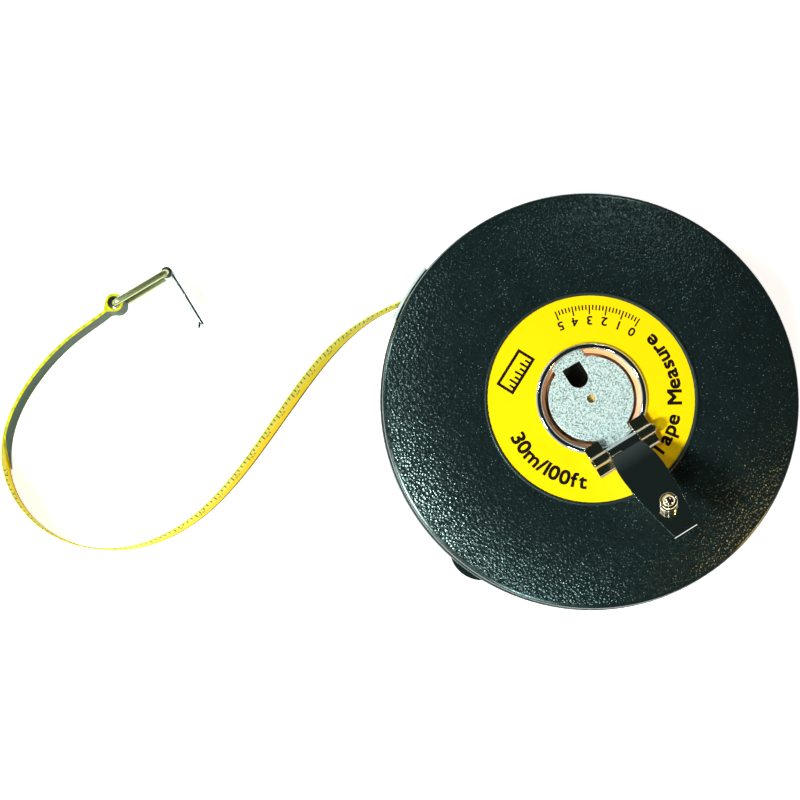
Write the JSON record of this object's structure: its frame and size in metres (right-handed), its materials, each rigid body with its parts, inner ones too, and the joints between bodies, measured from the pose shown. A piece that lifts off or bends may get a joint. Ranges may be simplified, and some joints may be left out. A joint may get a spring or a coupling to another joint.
{
  "type": "surveyor tape reel",
  "caption": "Closed round tape reel with a folding winding crank, a pulled-out end of yellow tape, an end ring and a hook.",
  "frame": {"origin": "centre of the back face, where the drum's axis meets it", "axes": "+Z along the drum's axis towards the crank side; the tape mouth is on the -X side of the rim"},
  "size_m": [0.2774, 0.223, 0.0538],
  "materials": {
    "case_black": "pebble-grained black plastic with smooth edges",
    "label_yellow": "glossy yellow printed label",
    "bright_steel": "bright plated steel",
    "dark_steel": "black phosphated steel",
    "brass": "turned brass",
    "white_plastic": "natural nylon",
    "drum_black": "moulded black plastic",
    "tape_yellow": "coated fibreglass tape, yellow",
    "strip_green": "matt grey-green reinforcing tape",
    "chrome": "polished chrome",
    "grained_silver": "silver hammered and grained finish",
    "plated_wire": "bright zinc-plated wire"
  },
  "bodies": {
    "case": {"back_cover": "case_black", "front_cover": "case_black", "front_label": "label_yellow", "mouth_plate": "bright_steel", "mouth_rivets": "bright_steel", "case_screws": "dark_steel", "spindle": "brass", "spindle_screw": "brass", "thrust_washer": "white_plastic", "stop_washer": "bright_steel", "retaining_clip": "dark_steel", "tape_lead": "tape_yellow", "free_tape": "tape_yellow", "end_strip": "strip_green", "tape_loop": "tape_yellow"},
    "drum": {"drum_bush": "brass", "drum_core": "drum_black", "back_flange": "drum_black", "front_flange": "drum_black", "flange_rivets": "bright_steel", "wound_tape": "tape_yellow", "tape_wedge": "white_plastic", "winding_pan": "chrome", "pan_rivets": "bright_steel", "hub_disc": "grained_silver", "hinge_bracket": "chrome", "hinge_pin": "bright_steel"},
    "crank": {"crank_plate": "chrome", "knob_rivet": "chrome"},
    "knob": {"knob": "chrome"},
    "ring": {"end_ring": "plated_wire"},
    "hook": {"hook": "bright_steel"}
  },
  "joints": [
    {"name": "drum_spin", "type": "hinge", "parent": "case", "child": "drum", "pos_m": [0, 0, 0], "axis": [0, 0, 1], "continuous": true},
    {"name": "crank_fold", "type": "hinge", "parent": "drum", "child": "crank", "pos_m": [0.01843, -0.01107, 0.0303], "axis": [-0.515, -0.8572, 0], "range_deg": [-28, 154]},
    {"name": "knob_spin", "type": "hinge", "parent": "crank", "child": "knob", "pos_m": [0.04178, -0.0251, 0.04509], "axis": [-0.2988, 0.1795, 0.9373], "continuous": true},
    {"name": "ring_swing", "type": "hinge", "parent": "case", "child": "ring", "pos_m": [-0.1806, -0.05105, 0.0095], "axis": [0, 0, 1], "range_deg": [-70, 70]},
    {"name": "hook_fold", "type": "hinge", "parent": "ring", "child": "hook", "pos_m": [-0.1686, -0.03108, 0.0095], "axis": [0.0673, -0.0404, 0.9969], "range_deg": [-47, 86]}
  ]
}
